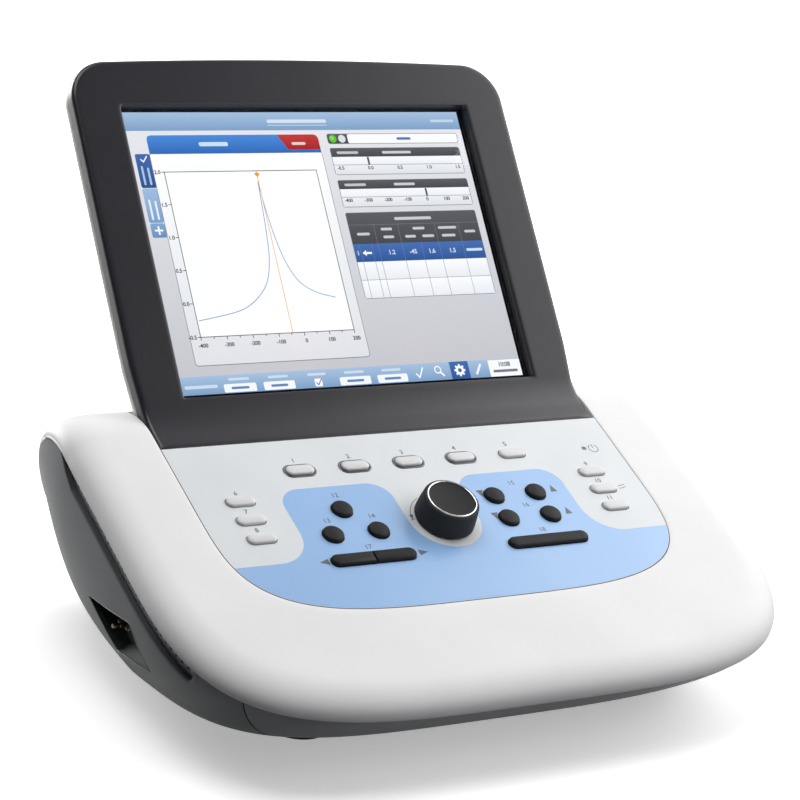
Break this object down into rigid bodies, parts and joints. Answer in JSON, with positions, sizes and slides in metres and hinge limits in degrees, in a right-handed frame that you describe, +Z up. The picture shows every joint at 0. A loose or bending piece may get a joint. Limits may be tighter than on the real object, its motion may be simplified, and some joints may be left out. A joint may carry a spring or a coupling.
{
  "type": "tympanometer",
  "caption": "Table-top tympanometer: a white wedge housing with dark side covers, a fixed display leaning back behind a sloping keypad, and a round pressure knob.",
  "frame": {"origin": "bottom centre of the bounding box, on the plane of the feet", "axes": "+X to the right of a person at the keypad, +Y to the rear, +Z up; the front faces -Y"},
  "size_m": [0.4184, 0.3867, 0.3215],
  "materials": {
    "white_shell": "satin",
    "dark_shell": "satin",
    "bezel": "fine texture",
    "black_plastic": "matte",
    "panel": "satin, with a pale blue zone",
    "grey_key": "satin",
    "black_key": "matte",
    "trim_ring": "satin",
    "knob_rubber": "matte",
    "bright_ring": "polished",
    "knob_cap": "semi-gloss",
    "window": "clear",
    "display": "lit display",
    "foot_rubber": "matte",
    "steel": "brushed",
    "board": "solder mask",
    "ivory": "matte",
    "lamp": "clear green"
  },
  "bodies": {
    "housing": {"top_cover": "white_shell", "rear_cover": "white_shell", "left_side_cover": "dark_shell", "right_side_cover": "dark_shell", "front_skirt": "dark_shell", "base_plate": "dark_shell", "left_vent_strip": "black_plastic", "right_vent_strip": "black_plastic", "probe_pocket": "dark_shell", "probe_socket": "steel", "feet": "foot_rubber", "screen_bezel": "bezel", "screen_back_cover": "white_shell", "window_gasket": "black_plastic", "window_glass": "window", "lcd_module": "display", "screen_bracket": "steel", "display_cable": "ivory", "control_panel": "panel", "key_rings": "trim_ring", "switch_mat": "ivory", "key_board": "board", "status_lamp": "lamp", "encoder": "steel", "main_board": "board", "power_supply": "steel", "air_pump": "steel", "pressure_manifold": "ivory", "speaker": "black_plastic", "connector_plate": "black_plastic", "screws": "steel"},
    "pressure_knob": {"knob_grip": "knob_rubber", "knob_ring": "bright_ring", "knob_cap": "knob_cap", "knob_shaft": "steel"},
    "power_rocker": {"power_switch": "black_plastic"},
    "row_key_1_body": {"row_key_1": "grey_key"},
    "row_key_2_body": {"row_key_2": "grey_key"},
    "row_key_3_body": {"row_key_3": "grey_key"},
    "row_key_4_body": {"row_key_4": "grey_key"},
    "row_key_5_body": {"row_key_5": "grey_key"},
    "left_key_1_body": {"left_key_1": "grey_key"},
    "left_key_2_body": {"left_key_2": "grey_key"},
    "left_key_3_body": {"left_key_3": "grey_key"},
    "right_key_1_body": {"right_key_1": "grey_key"},
    "right_key_2_body": {"right_key_2": "grey_key"},
    "right_key_3_body": {"right_key_3": "grey_key"},
    "manual_key_body": {"manual_key": "black_key"},
    "hold_key_body": {"hold_key": "black_key"},
    "stop_key_body": {"stop_key": "black_key"},
    "tone_down_key_body": {"tone_down_key": "black_key"},
    "tone_up_key_body": {"tone_up_key": "black_key"},
    "level_down_key_body": {"level_down_key": "black_key"},
    "level_up_key_body": {"level_up_key": "black_key"},
    "start_key_left_body": {"start_key_left": "black_key"},
    "start_key_right_body": {"start_key_right": "black_key"},
    "present_key_body": {"present_key": "black_key"}
  },
  "joints": [
    {"name": "row_key_1_press", "type": "slide", "parent": "housing", "child": "row_key_1_body", "axis": [0, 0.3584, -0.9336], "range_m": [0, 0.0012], "stiffness_N_per_m": 250, "springref_m": -0.001},
    {"name": "row_key_2_press", "type": "slide", "parent": "housing", "child": "row_key_2_body", "axis": [0, 0.3584, -0.9336], "range_m": [0, 0.0012], "stiffness_N_per_m": 250, "springref_m": -0.001},
    {"name": "row_key_3_press", "type": "slide", "parent": "housing", "child": "row_key_3_body", "axis": [0, 0.3584, -0.9336], "range_m": [0, 0.0012], "stiffness_N_per_m": 250, "springref_m": -0.001},
    {"name": "row_key_4_press", "type": "slide", "parent": "housing", "child": "row_key_4_body", "axis": [0, 0.3584, -0.9336], "range_m": [0, 0.0012], "stiffness_N_per_m": 250, "springref_m": -0.001},
    {"name": "row_key_5_press", "type": "slide", "parent": "housing", "child": "row_key_5_body", "axis": [0, 0.3584, -0.9336], "range_m": [0, 0.0012], "stiffness_N_per_m": 250, "springref_m": -0.001},
    {"name": "left_key_1_press", "type": "slide", "parent": "housing", "child": "left_key_1_body", "axis": [0, 0.3584, -0.9336], "range_m": [0, 0.0012], "stiffness_N_per_m": 250, "springref_m": -0.001},
    {"name": "left_key_2_press", "type": "slide", "parent": "housing", "child": "left_key_2_body", "axis": [0, 0.3584, -0.9336], "range_m": [0, 0.0012], "stiffness_N_per_m": 250, "springref_m": -0.001},
    {"name": "left_key_3_press", "type": "slide", "parent": "housing", "child": "left_key_3_body", "axis": [0, 0.3584, -0.9336], "range_m": [0, 0.0012], "stiffness_N_per_m": 250, "springref_m": -0.001},
    {"name": "right_key_1_press", "type": "slide", "parent": "housing", "child": "right_key_1_body", "axis": [0, 0.3584, -0.9336], "range_m": [0, 0.0012], "stiffness_N_per_m": 250, "springref_m": -0.001},
    {"name": "right_key_2_press", "type": "slide", "parent": "housing", "child": "right_key_2_body", "axis": [0, 0.3584, -0.9336], "range_m": [0, 0.0012], "stiffness_N_per_m": 250, "springref_m": -0.001},
    {"name": "right_key_3_press", "type": "slide", "parent": "housing", "child": "right_key_3_body", "axis": [0, 0.3584, -0.9336], "range_m": [0, 0.0012], "stiffness_N_per_m": 250, "springref_m": -0.001},
    {"name": "manual_key_press", "type": "slide", "parent": "housing", "child": "manual_key_body", "axis": [0, 0.3584, -0.9336], "range_m": [0, 0.0012], "stiffness_N_per_m": 300, "springref_m": -0.001},
    {"name": "hold_key_press", "type": "slide", "parent": "housing", "child": "hold_key_body", "axis": [0, 0.3584, -0.9336], "range_m": [0, 0.0012], "stiffness_N_per_m": 300, "springref_m": -0.001},
    {"name": "stop_key_press", "type": "slide", "parent": "housing", "child": "stop_key_body", "axis": [0, 0.3584, -0.9336], "range_m": [0, 0.0012], "stiffness_N_per_m": 300, "springref_m": -0.001},
    {"name": "tone_down_key_press", "type": "slide", "parent": "housing", "child": "tone_down_key_body", "axis": [0, 0.3584, -0.9336], "range_m": [0, 0.0012], "stiffness_N_per_m": 300, "springref_m": -0.001},
    {"name": "tone_up_key_press", "type": "slide", "parent": "housing", "child": "tone_up_key_body", "axis": [0, 0.3584, -0.9336], "range_m": [0, 0.0012], "stiffness_N_per_m": 300, "springref_m": -0.001},
    {"name": "level_down_key_press", "type": "slide", "parent": "housing", "child": "level_down_key_body", "axis": [0, 0.3584, -0.9336], "range_m": [0, 0.0012], "stiffness_N_per_m": 300, "springref_m": -0.001},
    {"name": "level_up_key_press", "type": "slide", "parent": "housing", "child": "level_up_key_body", "axis": [0, 0.3584, -0.9336], "range_m": [0, 0.0012], "stiffness_N_per_m": 300, "springref_m": -0.001},
    {"name": "start_key_left_press", "type": "slide", "parent": "housing", "child": "start_key_left_body", "axis": [0, 0.3584, -0.9336], "range_m": [0, 0.0012], "stiffness_N_per_m": 300, "springref_m": -0.001},
    {"name": "start_key_right_press", "type": "slide", "parent": "housing", "child": "start_key_right_body", "axis": [0, 0.3584, -0.9336], "range_m": [0, 0.0012], "stiffness_N_per_m": 300, "springref_m": -0.001},
    {"name": "present_key_press", "type": "slide", "parent": "housing", "child": "present_key_body", "axis": [0, 0.3584, -0.9336], "range_m": [0, 0.0012], "stiffness_N_per_m": 400, "springref_m": -0.001},
    {"name": "knob_turn", "type": "hinge", "parent": "housing", "child": "pressure_knob", "pos_m": [0, -0.06541, 0.10319], "axis": [0, -0.3584, 0.9336], "continuous": true},
    {"name": "power_rock", "type": "hinge", "parent": "housing", "child": "power_rocker", "pos_m": [0.044, 0.08713, 0.039], "axis": [1, 0, 0], "range_deg": [-8, 8]}
  ]
}
